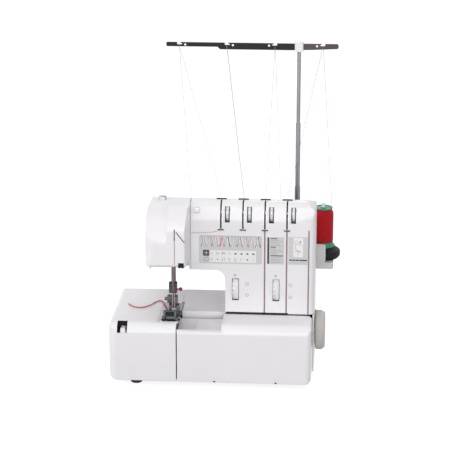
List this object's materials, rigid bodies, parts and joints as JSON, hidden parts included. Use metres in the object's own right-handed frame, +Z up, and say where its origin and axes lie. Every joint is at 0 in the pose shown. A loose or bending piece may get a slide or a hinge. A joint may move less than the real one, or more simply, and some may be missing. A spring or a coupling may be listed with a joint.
{
  "type": "serger overlock machine",
  "caption": "Domestic overlock sewing machine with looper and side covers, tension dials, handwheel, spool stand and telescopic thread guide mast.",
  "frame": {"origin": "centre of the footprint on the table plane", "axes": "+X to the right seen from the front, +Y to the back, +Z up"},
  "size_m": [0.364, 0.2604, 0.52],
  "materials": {
    "shell_white": "fine satin moulded plastic",
    "pan_plastic": "matte moulded plastic",
    "cast_metal": "as cast",
    "steel": "satin",
    "dark_steel": "dark nickel",
    "black_plastic": "moulded",
    "black_metal": "semi-gloss black paint",
    "rubber": "matte",
    "handwheel_grey": "satin",
    "bronze": "sintered",
    "mast_chrome": "polished",
    "tray_plastic": "satin",
    "spool_thread": "wound thread",
    "line_thread": "fine thread",
    "lamp_lens": "frosted",
    "knob_red": "gloss"
  },
  "bodies": {
    "root": {"base_pan": "pan_plastic", "rubber_feet": "rubber", "body_screws": "steel", "frame_casting": "cast_metal", "rear_housing": "shell_white", "front_panel": "shell_white", "head_cover": "shell_white", "thread_cutter": "black_plastic", "needle_plate": "steel", "lower_knife": "steel", "shaft_bushes": "bronze", "drive_belt": "rubber", "motor": "dark_steel", "power_inlet": "black_plastic", "presser_spring": "dark_steel", "lamp": "lamp_lens", "tension_discs": "steel", "slot_thread_guides": "black_metal", "head_thread_guides": "shell_white", "spool_tray": "tray_plastic", "spool_pins": "shell_white", "spool_cushions": "black_plastic", "mast_lower": "mast_chrome", "supply_threads": "line_thread", "panel_threads": "line_thread", "thread_chain": "spool_thread"},
    "drive_shaft": {"main_shaft": "steel", "handwheel": "handwheel_grey", "belt_pulley": "black_plastic"},
    "motor_rotor": {"motor_pulley": "steel"},
    "needle_bar": {"needle_bar": "steel", "needle_clamp": "dark_steel", "needles": "steel", "needle_clamp_knob": "knob_red"},
    "upper_knife": {"upper_knife": "dark_steel"},
    "feed_dog": {"feed_dog": "dark_steel"},
    "upper_looper": {"upper_looper": "steel"},
    "lower_looper": {"lower_looper": "steel"},
    "presser": {"presser_bar": "steel", "foot_holder": "dark_steel", "presser_foot": "dark_steel"},
    "presser_lifter": {"presser_lifter": "black_plastic"},
    "tension_dial_1": {"tension_dial_1": "shell_white"},
    "tension_dial_2": {"tension_dial_2": "shell_white"},
    "tension_dial_3": {"tension_dial_3": "shell_white"},
    "tension_dial_4": {"tension_dial_4": "shell_white"},
    "stitch_length_dial": {"stitch_length_dial": "shell_white"},
    "differential_dial": {"differential_dial": "shell_white"},
    "hinge_pin": {"hinge_pin": "steel"},
    "looper_cover": {"looper_cover": "shell_white"},
    "side_cover": {"side_cover": "shell_white"},
    "cover_latch": {"cover_latch": "shell_white"},
    "power_switch": {"power_switch": "black_plastic"},
    "mast_mid": {"mast_mid": "mast_chrome"},
    "mast_top": {"mast_top": "mast_chrome", "guide_bar": "black_metal"},
    "spool_1": {"spool_1": "spool_thread"},
    "spool_2": {"spool_2": "spool_thread"},
    "spool_3": {"spool_3": "spool_thread"},
    "spool_4": {"spool_4": "spool_thread"}
  },
  "joints": [
    {"name": "handwheel_turn", "type": "hinge", "parent": "root", "child": "drive_shaft", "pos_m": [0.14295, -0.033, 0.068], "axis": [1, 0, 0], "continuous": true},
    {"name": "motor_turn", "type": "hinge", "parent": "root", "child": "motor_rotor", "pos_m": [0.10495, 0.019, 0.045], "axis": [1, 0, 0], "continuous": true},
    {"name": "needle_stroke", "type": "slide", "parent": "root", "child": "needle_bar", "axis": [0, 0, -1], "range_m": [0, 0.03]},
    {"name": "knife_stroke", "type": "slide", "parent": "root", "child": "upper_knife", "axis": [0, 0, -1], "range_m": [0, 0.012]},
    {"name": "feed_stroke", "type": "slide", "parent": "root", "child": "feed_dog", "axis": [0, 1, 0], "range_m": [0, 0.003]},
    {"name": "upper_looper_swing", "type": "hinge", "parent": "root", "child": "upper_looper", "pos_m": [-0.03605, -0.075, 0.032], "axis": [0, 1, 0], "range_deg": [0, 20]},
    {"name": "lower_looper_swing", "type": "hinge", "parent": "root", "child": "lower_looper", "pos_m": [-0.05405, -0.075, 0.034], "axis": [0, 1, 0], "range_deg": [-20, 0]},
    {"name": "presser_lift", "type": "slide", "parent": "root", "child": "presser", "axis": [0, 0, 1], "range_m": [0, 0.006], "deforming": ["presser_spring"]},
    {"name": "lifter_turn", "type": "hinge", "parent": "root", "child": "presser_lifter", "pos_m": [-0.08155, 0.032, 0.211], "axis": [1, 0, 0], "range_deg": [0, 25]},
    {"name": "tension_1_turn", "type": "hinge", "parent": "root", "child": "tension_dial_1", "pos_m": [0.00325, -0.0535, 0.27], "axis": [1, 0, 0], "range_deg": [-120, 180]},
    {"name": "tension_2_turn", "type": "hinge", "parent": "root", "child": "tension_dial_2", "pos_m": [0.03825, -0.0535, 0.27], "axis": [1, 0, 0], "range_deg": [-120, 180]},
    {"name": "tension_3_turn", "type": "hinge", "parent": "root", "child": "tension_dial_3", "pos_m": [0.07325, -0.0535, 0.27], "axis": [1, 0, 0], "range_deg": [-120, 180]},
    {"name": "tension_4_turn", "type": "hinge", "parent": "root", "child": "tension_dial_4", "pos_m": [0.10825, -0.0535, 0.27], "axis": [1, 0, 0], "range_deg": [-120, 180]},
    {"name": "stitch_length_turn", "type": "hinge", "parent": "root", "child": "stitch_length_dial", "pos_m": [0.01645, -0.054, 0.146], "axis": [1, 0, 0], "range_deg": [-100, 80]},
    {"name": "differential_turn", "type": "hinge", "parent": "root", "child": "differential_dial", "pos_m": [0.08145, -0.054, 0.146], "axis": [1, 0, 0], "range_deg": [-100, 80]},
    {"name": "looper_cover_slide", "type": "slide", "parent": "root", "child": "hinge_pin", "axis": [1, 0, 0], "range_m": [0, 0.008]},
    {"name": "looper_cover_swing", "type": "hinge", "parent": "hinge_pin", "child": "looper_cover", "pos_m": [-0.07305, -0.1225, 0.015], "axis": [1, 0, 0], "range_deg": [0, 88]},
    {"name": "side_cover_slide", "type": "slide", "parent": "root", "child": "side_cover", "axis": [-1, 0, 0], "range_m": [0, 0.06]},
    {"name": "cover_latch_press", "type": "slide", "parent": "side_cover", "child": "cover_latch", "axis": [1, 0, 0], "range_m": [0, 0.0025], "stiffness_N_per_m": 200, "springref_m": -0.001},
    {"name": "power_switch_rock", "type": "hinge", "parent": "root", "child": "power_switch", "pos_m": [0.14095, 0.027, 0.064], "axis": [0, 1, 0], "range_deg": [-16, 0]},
    {"name": "mast_mid_slide", "type": "slide", "parent": "root", "child": "mast_mid", "axis": [0, 0, -1], "range_m": [0, 0.104], "deforming": ["supply_threads"]},
    {"name": "mast_top_slide", "type": "slide", "parent": "mast_mid", "child": "mast_top", "axis": [0, 0, -1], "range_m": [0, 0.108], "deforming": ["supply_threads"]},
    {"name": "spool_1_spin", "type": "hinge", "parent": "root", "child": "spool_1", "pos_m": [-0.08205, 0.085, 0.2], "axis": [0, 0, 1], "continuous": true},
    {"name": "spool_2_spin", "type": "hinge", "parent": "root", "child": "spool_2", "pos_m": [0.00795, 0.085, 0.2], "axis": [0, 0, 1], "continuous": true},
    {"name": "spool_3_spin", "type": "hinge", "parent": "root", "child": "spool_3", "pos_m": [0.06795, 0.085, 0.2], "axis": [0, 0, 1], "continuous": true},
    {"name": "spool_4_spin", "type": "hinge", "parent": "root", "child": "spool_4", "pos_m": [0.15295, 0.085, 0.2], "axis": [0, 0, 1], "continuous": true}
  ],
  "couplings": [
    {"joint": "motor_turn", "follows": "handwheel_turn", "ratio": 2.7778},
    {"joint": "knife_stroke", "follows": "needle_stroke", "ratio": 0.4},
    {"joint": "feed_stroke", "follows": "needle_stroke", "ratio": 0.1},
    {"joint": "upper_looper_swing", "follows": "needle_stroke", "rad_per_m": 11.635},
    {"joint": "lower_looper_swing", "follows": "needle_stroke", "rad_per_m": -11.635},
    {"joint": "lifter_turn", "follows": "presser_lift", "rad_per_m": 72.721}
  ]
}
